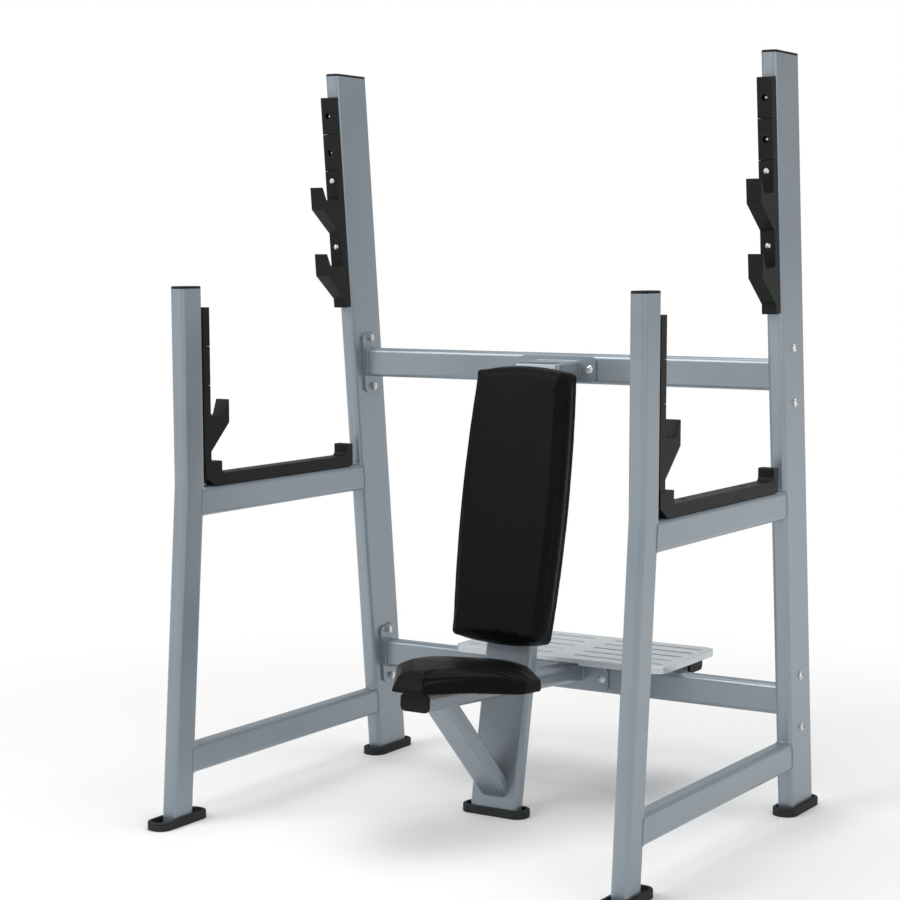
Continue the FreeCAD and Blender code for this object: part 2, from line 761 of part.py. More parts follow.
def drill_post(name, frame, height):
    """Tapped hole in the post's wall behind a strip."""
    depth = tube_wall + tap_depth
    hole = cylinder(Vector(-depth, height, 0), X_AXIS, m8_radius, depth)
    hole.Placement = frame
    parts[name] = parts[name].cut(hole)


hook_screws = []
spacer_screws = []
rear_lips = [hook_foot + hook_drop + lip_height, hook_foot + hook_drop + lip_height + hook_pitch]
front_lips = rear_lips[:1]
strip_sets = {"rear": (-1, rear_lips, rear_hook_bottom, rear_lean),
              "front": (1, front_lips, front_hook_bottom, 0.0)}
for end, (direction, lips, bottom, lean) in strip_sets.items():
    outline, hook_top = hook_outline(lips)
    for side, sign in sides.items():
        x = sign * post_x
        post = side + "_" + end + "_post"
        if end == "rear":
            foot_y = rear_axis(bottom) - rear_half
        else:
            foot_y = front_axis(bottom) + front_half
        frame = strip_frame(direction, x, foot_y, bottom, lean)
        heights = [lip + hook_bolt_rise for lip in lips]
        parts[side + "_" + end + "_hook"] = strip_block(outline, frame, heights, 0.0)
        for height in heights:
            hook_screws.append(strip_screw(frame, height, strip_thickness,
                                           strip_thickness + screw_bite))
            drill_post(post, frame, height)
        base = hook_top
        spacers = []
        for level in range(2):
            low = base + seam_gap
            high = base + spacer_length
            middle = (low + high) / 2
            points = [(0.0, low), (strip_thickness, low), (strip_thickness, high), (0.0, high)]
            spacers.append(strip_block(points, frame, [middle], counterbore_depth))
            seat = strip_thickness - counterbore_depth
            spacer_screws.append(strip_screw(frame, middle, seat, seat + screw_bite))
            drill_post(post, frame, middle)
            base = high
        parts[side + "_" + end + "_spacers"] = Part.makeCompound(spacers)


# ---- catch trays -------------------------------------------------------------------
tray_bottom = upper_bar_bottom + side_tube
tray_screws = []
tray_front = front_axis(tray_bottom + tray_base) + front_half
tray_end = tray_front + tray_length
tray_floor = tray_bottom + tray_base
tray_top = tray_floor + tray_wall_height
for side, sign in sides.items():
    x = sign * post_x
    outline = [(tray_front + tray_chamfer, tray_bottom),
               (tray_end, tray_bottom),
               (tray_end, tray_top),
               (tray_end - tray_rear_block, tray_top),
               (tray_end - tray_rear_block, tray_floor),
               (tray_front + tray_front_block, tray_floor),
               (tray_front + tray_front_block, tray_top),
               (tray_front, tray_top),
               (tray_front, tray_bottom + tray_chamfer_rise)]
    body = side_outline(outline, tube_thickness, x)
    inner_corners = [(tray_end - tray_rear_block, tray_floor),
                     (tray_front + tray_front_block, tray_floor)]
    body = fillet_where(body, tray_fillet, lambda edge, middle: any(
        abs(middle.y - y) < 0.01 and abs(middle.z - z) < 0.01 for y, z in inner_corners))
    rim = [(tray_end, tray_top), (tray_end - tray_rear_block, tray_top),
           (tray_front + tray_front_block, tray_top)]
    body = fillet_where(body, tray_rim_fillet, lambda edge, middle: any(
        abs(middle.y - y) < 0.01 and abs(middle.z - z) < 0.01 for y, z in rim))
    bar_name = side + "_upper_side_bar"
    for share in tray_screw_shares:
        y = tray_front + share * tray_length
        head_seat = Vector(x, y, tray_floor - tray_counterbore)
        tail = Vector(x, y, tray_bottom - screw_bite)
        body = body.cut(cylinder(head_seat, Z_AXIS, button_radius + hole_play, tray_base))
        body = body.cut(cylinder(Vector(x, y, tray_bottom), Z_AXIS, m8_radius + hole_play,
                                 tray_base))
        parts[bar_name] = parts[bar_name].cut(cylinder(tail, Z_AXIS, m8_radius, screw_bite))
        head = button_head(head_seat, Z_AXIS, button_radius, button_height, X_AXIS)
        shank = cylinder(tail, Z_AXIS, m8_radius, head_seat.z - tail.z)
        tray_screws.append(head.fuse(shank).removeSplitter())
    parts[side + "_catch_tray"] = body


# ---- platform ------------------------------------------------------------------------
platform_rear = overall_depth / 2
platform_y = platform_rear - platform_depth / 2
tread = Part.Face(rounded_rectangle(platform_width, platform_depth, platform_corner))
tread = tread.extrude(Z_AXIS * platform_lip)
tread = fillet_where(tread, platform_edge, lambda edge, middle: abs(middle.z - platform_lip) < 0.01)
hollow = Part.Face(rounded_rectangle(platform_width - 2 * platform_sheet,
                                     platform_depth - 2 * platform_sheet,
                                     platform_corner - platform_sheet))
tread = tread.cut(hollow.extrude(Z_AXIS * (platform_lip - platform_sheet)))
relief = Part.makeBox(lip_relief_width, 20.0, lip_relief_height)
relief.translate(Vector(-lip_relief_width / 2, -platform_depth / 2 - 10.0, 0))
tread = tread.cut(relief)
for row in range(slot_rows):
    slot_y = (row - (slot_rows - 1) / 2) * slot_pitch
    for sign in (-1, 1):
        slot = Part.Face(rounded_rectangle(slot_length, slot_width, slot_width / 2 - 0.1))
        slot = slot.extrude(Z_AXIS * (platform_lip + 1.0))
        slot.translate(Vector(sign * (slot_centre_gap + slot_length) / 2, slot_y, 0))
        tread = tread.cut(slot)
tread.translate(Vector(0, platform_y, platform_height - platform_lip))
parts["platform_tread"] = tread

tread_underside = platform_height - platform_sheet
tube_z = tread_underside - tube_thickness / 2
tube_y = platform_rear - platform_tube_setback
tube_reach = platform_width / 2 - platform_sheet - cap_height - tube_end_gap
outside, bore = tube(Vector(-tube_reach, tube_y, tube_z), Vector(tube_reach, tube_y, tube_z),
                     Y_AXIS, seat_tube_width, tube_thickness)
parts["platform_tube"] = outside.cut(bore)
for side, sign in sides.items():
    end = Vector(sign * tube_reach, tube_y, tube_z)
    outward = X_AXIS * sign
    flange = bar(end, end + outward * cap_height, Y_AXIS, seat_tube_width, tube_thickness,
                 tube_corner)
    face_x = sign * (tube_reach + cap_height)
    flange = fillet_where(flange, cap_height * cap_edge_share,
                          lambda edge, middle: abs(middle.x - face_x) < 0.01)
    plug = bar(end - outward * cap_plug, end, Y_AXIS, inner_width, inner_depth,
               tube_corner - tube_wall)
    parts[side + "_platform_cap"] = flange.fuse(plug).removeSplitter()

cross_top = lower_cross_height + cross_tube / 2
arm_height = tread_underside - cross_top
arm_front = lower_cross_y - tube_thickness / 2
arm_rear = tube_y - seat_tube_width / 2
platform_tube_outside = outside
for side, sign in sides.items():
    z = cross_top + arm_height / 2
    x = sign * arm_offset
    start = Vector(x, arm_front, z)
    end = Vector(x, arm_rear + tube_corner, z)
    outside = bar(start, end, X_AXIS, arm_width, arm_height, arm_corner)
    bore = bar(start, end, X_AXIS, arm_width - 2 * tube_wall, arm_height - 2 * tube_wall,
               arm_corner - tube_wall)
    parts[side + "_platform_arm"] = outside.cut(bore).cut(platform_tube_outside)


# ---- fastener groups and export ---------------------------------------------------------
parts["crossbar_flanges"] = Part.makeCompound(flanges)
parts["crossbar_bolts"] = Part.makeCompound(cross_bolts)
parts["crossbar_washers"] = Part.makeCompound(cross_washers)
parts["hex_nuts"] = Part.makeCompound(cross_nuts + saddle_nuts)
parts["saddle_bolts"] = Part.makeCompound(saddle_bolts)
parts["hook_screws"] = Part.makeCompound(hook_screws)
parts["spacer_screws"] = Part.makeCompound(spacer_screws)
parts["tray_screws"] = Part.makeCompound(tray_screws)
parts["pad_screws"] = Part.makeCompound(pad_screws)

os.makedirs("parts", exist_ok=True)
for name, shape in parts.items():
    shape.exportStep("parts/" + name + ".step")
    print(name, len(shape.Solids), "solids", shape.isValid(), round(shape.Volume / 1000.0, 1), "cm3")
print(len(parts), "nodes")
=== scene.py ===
"""Looks for a seated shoulder-press bench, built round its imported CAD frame.

Metres, +Z up, the sitter faces -Y.  Steel, plastic and rubber are the CAD's own
nodes with better materials; the two pads, their seams and the weld beads are
built here.
"""

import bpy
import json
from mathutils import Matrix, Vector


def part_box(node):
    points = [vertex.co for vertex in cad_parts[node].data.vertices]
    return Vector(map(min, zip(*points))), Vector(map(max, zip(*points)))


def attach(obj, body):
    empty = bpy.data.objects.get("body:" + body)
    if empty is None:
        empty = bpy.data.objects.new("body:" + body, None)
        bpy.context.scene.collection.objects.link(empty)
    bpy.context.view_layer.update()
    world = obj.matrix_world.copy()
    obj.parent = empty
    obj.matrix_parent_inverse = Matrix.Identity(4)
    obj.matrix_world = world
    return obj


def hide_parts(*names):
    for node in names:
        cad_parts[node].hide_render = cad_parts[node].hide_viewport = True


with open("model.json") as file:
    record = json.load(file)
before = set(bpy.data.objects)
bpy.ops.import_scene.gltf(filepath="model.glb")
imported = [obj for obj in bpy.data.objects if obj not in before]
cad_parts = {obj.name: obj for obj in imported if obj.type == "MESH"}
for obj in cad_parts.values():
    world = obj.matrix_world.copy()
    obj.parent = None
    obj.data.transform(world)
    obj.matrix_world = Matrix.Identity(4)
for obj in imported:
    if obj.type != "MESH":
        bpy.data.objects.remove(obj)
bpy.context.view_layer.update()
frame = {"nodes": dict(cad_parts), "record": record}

import json
import math

import bpy
import bmesh
from mathutils import Vector
from mathutils.bvhtree import BVHTree

nodes = frame["nodes"]
X_AXIS = Vector((1, 0, 0))
Y_AXIS = Vector((0, 1, 0))
Z_AXIS = Vector((0, 0, 1))

# ---- camera ---------------------------------------------------------------
CAMERA_PLACE = (2.55397, -4.21983, 1.33661)
CAMERA_TURN = math.radians(31.63)     # round from straight ahead, towards +X
CAMERA_DIP = math.radians(7.24)       # below the horizon
CAMERA_LENS = 83.53
CAMERA_SHIFT = (-0.0375, 0.0791)

# ---- upholstery, in metres ------------------------------------------------
BACK_LEAN = math.radians(10.75)
SEAT_TILT = math.radians(4.1)
VOXEL = 0.0034
WELT_RADIUS = 0.0011
PUFF_PRESSURE = 4.0
PUFF_FRAMES = 20
PUFF_CAP = 0.004
PUFF_MASS = 0.3
PUFF_QUALITY = 5
BOARD_INSET = 0.0085
BOARD_DEPTH = 0.0105
LIP_ROUND = 0.003
PAD_SKIN = 0.0015             # room left for a pad to swell into
OUTLINE_STEP = 0.006
SMOOTHING = 0.4
SIDE_SHARES = [0.15, 0.3, 0.45, 0.6, 0.75, 0.9, 1.0]
EDGE_TURNS = [math.radians(angle) for angle in (22.5, 45.0, 67.5, 90.0)]
CLOSING_STEPS = 16
HELD_DEPTH = 0.02             # this much of a pad's base stays put as it swells
SEAM_HEIGHT = 0.012
WELT_SINK = 0.0003
SEAT_FLARE = 0.222            # nose to shoulders
SEAT_SIDE = 0.076
SEAT_NOSE = 0.082
SEAT_TAIL = 0.170
SEAT_POCKET_RISE = 0.003      # seat's pocket is this much deeper than the back's
BACK_FULLNESS = 0.0015        # back pad beyond its CAD solid, all round
SEAT_FULLNESS = 0.002         # seat's shoulders beyond its CAD solid
SEAT_TOP_DROP = 0.011         # crown of the seat below the top of its CAD solid

# ---- welds and the tubes they run round, in metres ---------------------------
BEAD_RADIUS = 0.0024
BEAD_LIFT = 0.0006            # bead's centre line outside the tube's skin
SKIN_SHARE = 0.985            # rays start just inside the skin
SHORTEST_LINE = 20            # points; a shorter line has missed its target
CORNER_POINTS = 10            # points round each corner of a tube
TUBE_CORNER = 0.012
TUBE = 0.040
WIDE_TUBE = 0.130
CROSS_TUBE = 0.074
SIDE_TUBE = 0.070
SEAT_TUBE = 0.075

# ---- studio -----------------------------------------------------------------
FLOOR_SIZE = 60.0
FLOOR_COLOUR = (0.915, 0.91, 0.905, 1.0)
FADE_START = 1.0              # the floor turns to plain white between these reaches
FADE_END = 2.6
SKY_COLOUR = (0.98, 0.99, 1.0, 1.0)
SKY_STRENGTH = 0.50
LIGHTS = [("key", (-2.2, -3.6, 4.0), 3.0, 140.0),
          ("fill", (3.6, -1.5, 2.6), 2.5, 24.0),
          ("top", (0.2, 0.8, 4.6), 3.0, 90.0)]
LIGHT_AIM = Vector((0.0, 0.0, 0.8))


def make_camera():
    data = bpy.data.cameras.new("camera")
    data.lens = CAMERA_LENS
    data.sensor_width = 36.0
    data.shift_x, data.shift_y = CAMERA_SHIFT
    data.clip_end = 100.0
    camera = bpy.data.objects.new("camera", data)
    bpy.context.scene.collection.objects.link(camera)
    camera.location = CAMERA_PLACE
    aim = Vector((-math.sin(CAMERA_TURN) * math.cos(CAMERA_DIP),
                  math.cos(CAMERA_TURN) * math.cos(CAMERA_DIP),
                  -math.sin(CAMERA_DIP)))
    camera.rotation_mode = "QUATERNION"
    camera.rotation_quaternion = aim.to_track_quat("-Z", "Y")
    bpy.context.scene.camera = camera


# ---- materials ----------------------------------------------------------------
# Noise scales are per metre of the object and bump distances are in metres.
NOISE_LOW = 0.3               # a noise's values mostly lie between these
NOISE_HIGH = 0.7


class Shader:
    """A Principled material with a few helpers for building its node graph."""

    def __init__(self, name, **constants):
        self.material = bpy.data.materials.new(name)
        self.material.use_nodes = True
        self.tree = self.material.node_tree
        self.shader = self.tree.nodes["Principled BSDF"]
        self.coordinates = self.node("ShaderNodeTexCoord").outputs["Object"]
        for socket, value in constants.items():
            self.shader.inputs[socket.replace("_", " ")].default_value = value

    def node(self, kind, links=(), **settings):
        made = self.tree.nodes.new(kind)
        for key, value in settings.items():
            if key in made.inputs.keys():
                made.inputs[key].default_value = value
            else:
                setattr(made, key, value)
        for socket, source in dict(links).items():
            self.tree.links.new(source, made.inputs[socket])
        return made

    def scaled(self, stretch):
        """Object coordinates stretched by a factor along each axis."""
        mapping = self.node("ShaderNodeMapping", {"Vector": self.coordinates})
        mapping.inputs["Scale"].default_value = stretch
        return mapping.outputs["Vector"]

    def noise(self, scale, detail=2.0, roughness=0.5, vector=None):
        made = self.node("ShaderNodeTexNoise", {"Vector": vector or self.coordinates})
        made.inputs["Scale"].default_value = scale
        made.inputs["Detail"].default_value = detail
        made.inputs["Roughness"].default_value = roughness
        return made.outputs["Fac"]

    def cells(self, scale, feature, vector=None):
        made = self.node("ShaderNodeTexVoronoi", {"Vector": vector or self.coordinates},
                         feature=feature)
        made.inputs["Scale"].default_value = scale
        return made.outputs["Distance"]

    def ramp(self, source, low, high, dark, light):
        """Colour ramp from dark to light between two values of a source."""
        made = self.node("ShaderNodeValToRGB", {"Fac": source})
        first, last = made.color_ramp.elements
        first.position, last.position = low, high
        first.color, last.color = (*dark, 1.0), (*light, 1.0)
        return made.outputs["Color"]

    def spread(self, source, low, high):
        """A noise's usual range spread over low to high."""
        made = self.node("ShaderNodeMapRange", {"Value": source})
        made.inputs["From Min"].default_value = NOISE_LOW
        made.inputs["From Max"].default_value = NOISE_HIGH
        made.inputs["To Min"].default_value = low
        made.inputs["To Max"].default_value = high
        return made.outputs["Result"]

    def bump(self, height, distance, strength=1.0, under=None):
        made = self.node("ShaderNodeBump", {"Height": height})
        made.inputs["Distance"].default_value = distance
        made.inputs["Strength"].default_value = strength
        if under is not None:
            self.tree.links.new(under, made.inputs["Normal"])
        return made.outputs["Normal"]

    def connect(self, **sources):
        for socket, source in sources.items():
            self.tree.links.new(source, self.shader.inputs[socket.replace("_", " ")])
        return self.material


def powder_coat(name, dark, light, rough):
    """Satin metallic powder coat with orange peel and fine flake."""
    made = Shader(name, Metallic=0.62, Coat_Weight=0.25, Coat_Roughness=0.22)
    flake = made.noise(2600.0, 1.0)
    drift = made.noise(3.2, 3.0)
    mixed = made.node("ShaderNodeMath", {0: flake, 1: drift}, operation="ADD")
    half = made.node("ShaderNodeMath", {0: mixed.outputs[0]}, operation="MULTIPLY")
    half.inputs[1].default_value = 0.5
    colour = made.ramp(half.outputs[0], 0.38, 0.62, dark, light)
    peel = made.bump(made.noise(420.0, 2.0), 0.00006)
    return made.connect(Base_Color=colour, Normal=peel,
                        Roughness=made.spread(drift, rough - 0.03, rough + 0.04))


def moulded_plastic(name, dark, light, rough):
    """Satin moulded plastic with a fine spark-eroded grain and faint scuffs."""
    made = Shader(name, Specular_IOR_Level=0.16)
    grain = made.bump(made.noise(1400.0, 2.0), 0.00005)
    scuff = made.noise(28.0, 5.0, 0.7, made.scaled((1.0, 1.0, 3.0)))
    return made.connect(Base_Color=made.ramp(scuff, 0.35, 0.7, dark, light), Normal=grain,
                        Roughness=made.spread(scuff, rough - 0.05, rough + 0.08))


def moulded_rubber(name):
    made = Shader(name, Specular_IOR_Level=0.2)
    dust = made.noise(45.0, 6.0, 0.7)
    grain = made.bump(made.noise(900.0, 4.0, 0.6), 0.00012)
    colour = made.ramp(dust, 0.35, 0.75, (0.017, 0.018, 0.019), (0.032, 0.033, 0.034))
    return made.connect(Base_Color=colour, Normal=grain,
                        Roughness=made.spread(dust, 0.55, 0.74))


def vinyl(name, shade):
    """Black upholstery vinyl with a pebbled leather grain and soft creasing."""
    made = Shader(name, Specular_IOR_Level=0.1)
    wander = made.node("ShaderNodeVectorMath", {0: made.coordinates}, operation="ADD")
    shift = made.node("ShaderNodeTexNoise", {"Vector": made.coordinates})
    shift.inputs["Scale"].default_value = 300.0
    small = made.node("ShaderNodeVectorMath", {0: shift.outputs["Color"]}, operation="SCALE")
    small.inputs["Scale"].default_value = 0.0012
    made.tree.links.new(small.outputs["Vector"], wander.inputs[1])
    pebbles = made.cells(620.0, "SMOOTH_F1", wander.outputs["Vector"])
    fine = made.noise(2100.0, 3.0, 0.6)
    stretch = made.noise(14.0, 3.0, 0.55)
    normal = made.bump(pebbles, 0.00016, 0.8)
    normal = made.bump(fine, 0.00004, 0.7, normal)
    normal = made.bump(stretch, 0.0016, 0.35, normal)
    # Pebble crowns are a quarter lighter than the hollows between them: painted shade in the
    # grain's hollows
    colour = made.ramp(pebbles, 0.1, 0.75, [channel * 1.25 for channel in shade], shade)
    return made.connect(Base_Color=colour, Normal=normal,
                        Roughness=made.spread(stretch, 0.42, 0.52))


def plywood(name):
    """Birch plywood: long grain with darker streaks."""
    made = Shader(name, Specular_IOR_Level=0.3)
    grain = made.noise(90.0, 6.0, 0.65, made.scaled((1.0, 0.08, 0.08)))
    fine = made.noise(900.0, 2.0, 0.5, made.scaled((1.0, 0.05, 0.05)))
    colour = made.ramp(grain, 0.3, 0.72, (0.36, 0.23, 0.12), (0.60, 0.44, 0.27))
    return made.connect(Base_Color=colour, Normal=made.bump(fine, 0.0002, 0.6),
                        Roughness=made.spread(grain, 0.6, 0.75))


def zinc_plate(name):
    """Bright zinc-plated steel with fine tool marks."""
    made = Shader(name, Metallic=1.0)
    marks = made.noise(700.0, 3.0, 0.6, made.scaled((1.0, 0.25, 1.0)))
    bloom = made.noise(160.0, 4.0, 0.6)
    colour = made.ramp(bloom, 0.3, 0.7, (0.58, 0.59, 0.60), (0.80, 0.80, 0.79))
    return made.connect(Base_Color=colour, Normal=made.bump(marks, 0.00005, 0.6),
                        Roughness=made.spread(marks, 0.22, 0.38))


PAINT_DARK = (0.250, 0.292, 0.328)
PAINT_LIGHT = (0.294, 0.340, 0.380)
finishes = {
    "frame_paint": powder_coat("frame_paint", PAINT_DARK, PAINT_LIGHT, 0.36),
    # tread_paint is a much lighter copy of the frame's blue-grey powder coat for the
    # up-facing platform; the extra lightness is painted light, the brightness of its lit top
    # put into its colour
    "tread_paint": powder_coat("tread_paint", (0.62, 0.655, 0.68), (0.69, 0.73, 0.755), 0.44),
    "hook_plastic": moulded_plastic("hook_plastic", (0.006, 0.006, 0.0065),
                                    (0.011, 0.011, 0.0115), 0.46),
    "cap_plastic": moulded_plastic("cap_plastic", (0.006, 0.006, 0.0065),
                                   (0.011, 0.011, 0.0115), 0.48),
    "boot_rubber": moulded_rubber("boot_rubber"),
    "upholstery": vinyl("upholstery", (0.0022, 0.0022, 0.0023)),
    "plywood": plywood("plywood"),
    "bright_steel": zinc_plate("bright_steel"),
}
for subpart in frame["record"]["subparts"]:
    for holder in nodes[subpart["node"]].material_slots:
        holder.material = finishes[subpart["material_slot"]]


# ---- reading the CAD nodes -------------------------------------------------------
def span(node, direction):
    """Lowest and highest reach of a CAD node along a direction."""
    reaches = [vertex.co.dot(direction) for vertex in nodes[node].data.vertices]
    return min(reaches), max(reaches)


def surface_tree(piece):
    """Search tree over a piece's final mesh."""
    graph = bpy.context.evaluated_depsgraph_get()
    return BVHTree.FromObject(piece, graph)


# ---- pads ------------------------------------------------------------------------
def smooth_step(value, low, high):
    share = min(max((value - low) / (high - low), 0.0), 1.0)
    return share * share * (3.0 - 2.0 * share)


def rounded_outline(corners, radii, bulges, step):
    """Even points round a convex outline; sides bow out, corners are arcs."""
    pieces = []
    count = len(corners)
    for index in range(count):
        before, here = Vector(corners[index - 1]), Vector(corners[index])
        after = Vector(corners[(index + 1) % count])
        to_before, to_after = (before - here).normalized(), (after - here).normalized()
        half_angle = math.acos(max(-1.0, min(1.0, to_before.dot(to_after)))) / 2
        run = radii[index] / math.tan(half_angle)
        pieces.append((here + to_before * run, here, here + to_after * run))
    points = []
    for index, (start, corner, end) in enumerate(pieces):
        arc_steps = max(3, round((start - end).length / step))
        for number in range(arc_steps):
            share = number / arc_steps
            points.append((1 - share) ** 2 * start + 2 * share * (1 - share) * corner
                          + share ** 2 * end)
        following = pieces[(index + 1) % count][0]
        side = following - end
        outward = Vector((side.y, -side.x)).normalized()
        side_steps = max(2, round(side.length / step))
        for number in range(side_steps):
            share = number / side_steps
            bow = 4 * share * (1 - share) * bulges[index]
            points.append(end + side * share + outward * bow)
    return points


def outward_normals(points):
    normals = []
    for index in range(len(points)):
        along = points[(index + 1) % len(points)] - points[index - 1]
        normals.append(Vector((along.y, -along.x)).normalized())
    return normals


def pad_mesh(name, rings, place):
    """Closed mesh through rings of (u, v, height), remeshed to even quads."""
    mesh = bmesh.new()
    loops = [[mesh.verts.new(place(*point)) for point in ring] for ring in rings]
    size = len(rings[0])
    for lower, upper in zip(loops, loops[1:]):
        for index in range(size):
            other = (index + 1) % size
            mesh.faces.new((lower[index], lower[other], upper[other], upper[index]))
    bmesh.ops.remove_doubles(mesh, verts=mesh.verts, dist=1e-5)
    bmesh.ops.recalc_face_normals(mesh, faces=mesh.faces)
    data = bpy.data.meshes.new(name)
    mesh.to_mesh(data)
    mesh.free()
    piece = bpy.data.objects.new(name, data)
    bpy.context.scene.collection.objects.link(piece)
    remesh = piece.modifiers.new("even", "REMESH")
    remesh.mode = "VOXEL"
    remesh.voxel_size = VOXEL
    bake_modifiers(piece)
    return piece


def bake_modifiers(piece):
    """Replace a piece's mesh by its mesh with the modifiers applied."""
    graph = bpy.context.evaluated_depsgraph_get()
    baked = bpy.data.meshes.new_from_object(piece.evaluated_get(graph))
    piece.modifiers.clear()
    piece.data = baked


def puff(piece, held):
    """Swell a pad by cloth pressure; held(point) marks what stays put."""
    rest = [vertex.co.copy() for vertex in piece.data.vertices]
    group = piece.vertex_groups.new(name="held")
    group.add([index for index, point in enumerate(rest) if held(point)], 1.0, "REPLACE")
    cloth = piece.modifiers.new("cloth", "CLOTH")
    settings = cloth.settings
    settings.quality = PUFF_QUALITY
    settings.mass = PUFF_MASS
    settings.use_pressure = True
    settings.uniform_pressure_force = PUFF_PRESSURE
    settings.vertex_group_mass = "held"
    settings.effector_weights.gravity = 0.0
    cloth.point_cache.frame_start = 1
    cloth.point_cache.frame_end = PUFF_FRAMES
    for step in range(1, PUFF_FRAMES + 1):
        bpy.context.scene.frame_set(step)
    graph = bpy.context.evaluated_depsgraph_get()
    swollen = [vertex.co.copy() for vertex in piece.evaluated_get(graph).data.vertices]
    piece.modifiers.clear()
    piece.vertex_groups.clear()
    for vertex, before, after in zip(piece.data.vertices, rest, swollen):
        move = after - before
        vertex.co = before + move * min(1.0, PUFF_CAP / max(move.length, 1e-9))
    bpy.context.scene.frame_set(1)


def finish_pad(piece, node):
    """Smooth a pad, give it its vinyl and put it in its CAD solid's place."""
    smooth = piece.modifiers.new("smooth", "SMOOTH")
    smooth.factor = SMOOTHING
    smooth.iterations = 1
    finer = piece.modifiers.new("finer", "SUBSURF")
    finer.levels = finer.render_levels = 1
    bake_modifiers(piece)
    piece.data.shade_smooth()
    piece.data.materials.clear()
    piece.data.materials.append(finishes["upholstery"])
    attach(piece, "root")
    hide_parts(node)


def line_piece(name, lines, radius, finish):
    """Round beads along closed or open lines of points."""
    curve = bpy.data.curves.new(name, "CURVE")
    curve.dimensions = "3D"
    curve.bevel_depth = radius
    curve.bevel_resolution = 2
    for points, closed in lines:
        spline = curve.splines.new("NURBS")
        spline.points.add(len(points) - 1)
        for control, point in zip(spline.points, points):
            control.co = (*point, 1.0)
        spline.order_u = 3
        spline.use_cyclic_u = closed
        spline.use_endpoint_u = not closed
        spline.resolution_u = 2
    piece = bpy.data.objects.new(name, curve)
    bpy.context.scene.collection.objects.link(piece)
    curve.materials.append(finish)
    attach(piece, "root")
    return piece


def welt(name, piece, guide):
    """Thin sewn welt that follows a guide line on a pad's surface."""
    tree = surface_tree(piece)
    points = []
    for point in guide:
        place, normal = tree.find_nearest(point)[:2]
        points.append(place - normal * WELT_SINK)
    line_piece(name, [(points, True)], WELT_RADIUS, finishes["upholstery"])


def pad_rings(outline, profile):
    """Rings of (u, v, height) from a profile of (inset, height) functions."""
    normals = outward_normals(outline)
    rings = []
    for inset, height in profile:
        ring = []
        for point, normal in zip(outline, normals):
            place = point - normal * inset(point)
            ring.append((place.x, place.y, height(place)))
        rings.append(ring)
    return rings


def closing_rings(ring, height, steps):
    """Rings that draw a ring's sides in to its centre line, at height(u, v)."""
    closing = []
    for step in range(1, steps + 1):
        keep = 1 - step / steps
        closing.append([(u * keep, v, height(u * keep, v, step)) for u, v, _ in ring])
    return closing


def base_profile():
    """Underside of a pad: a pocket for the board, then a rounded lower lip."""
    return [(lambda p: BOARD_INSET, lambda p: BOARD_DEPTH),
            (lambda p: BOARD_INSET, lambda p: 0.0),
            (lambda p: LIP_ROUND, lambda p: 0.0),
            (lambda p: 0.0, lambda p: LIP_ROUND)]


def build_back_pad():
    """Firm upright pad: bowed sides that draw in to the front, slanted lower edge."""
    up = Vector((0, math.sin(BACK_LEAN), math.cos(BACK_LEAN)))
    out = Vector((0, -math.cos(BACK_LEAN), math.sin(BACK_LEAN)))
    low, high = span("back_pad", up)
    rear, front = span("back_pad", out)
    widest = span("back_pad", X_AXIS)[1] + BACK_FULLNESS
    half = (high - low) / 2 + BACK_FULLNESS
    middle = (high + low) / 2
    swell = 0.012
    bow = 0.009
    draft = 0.002                # the sides draw in from back to front
    end_half = widest - swell
    corners = [(-end_half, bow - half), (end_half, bow - half),
               (end_half, half - bow), (-end_half, half - bow)]
    radii = [0.020, 0.020, 0.016, 0.016]
    outline = rounded_outline(corners, radii, [bow, swell, bow, swell], OUTLINE_STEP)
    swell_room = 0.005           # front face below its CAD solid's
    face_top = front - rear - swell_room
    crown = 0.0035
    edge = 0.007
    slant = 0.019                # height of the slanted band under the front face
    slant_fall = 0.005           # the band is this much lower at the pad's sides
    slant_slope = 1.1

    def place(u, v, height):
        return X_AXIS * u + up * (middle + v) + out * (rear + height)

    def limited(u, v, height):
        """Cut the lower front edge off at a slant."""
        room = slant - slant_fall * (u / end_half) ** 2
        return min(height, face_top - max(0.0, room - (v + half)) * slant_slope)

    def front_height(u, v, step):
        across = min(1.0, (u / end_half) ** 2)
        along = min(1.0, (v / half) ** 2)
        return limited(u, v, face_top + crown * (1 - across) * (1 - along * along))

    profile = base_profile()
    for share in SIDE_SHARES:
        rise = LIP_ROUND + (face_top - edge - LIP_ROUND) * share
        profile.append((lambda p, share=share: draft * share,
                        lambda p, rise=rise: limited(p.x, p.y, rise)))
    for turn in EDGE_TURNS:
        inset = draft + edge * (1 - math.cos(turn))
        rise = face_top - edge + edge * math.sin(turn)
        profile.append((lambda p, inset=inset: inset,
                        lambda p, rise=rise: limited(p.x, p.y, rise)))
    rings = pad_rings(outline, profile)
    bottom = closing_rings(rings[0], lambda u, v, step: BOARD_DEPTH, 1)
    top = closing_rings(rings[-1], front_height, CLOSING_STEPS)
    piece = pad_mesh("back_pad_cover", bottom + rings + top, place)
    puff(piece, lambda point: point.dot(out) - rear < HELD_DEPTH)
    finish_pad(piece, "back_pad")
    welt("back_pad_seam", piece, [place(*point, SEAM_HEIGHT) for point in outline[::2]])


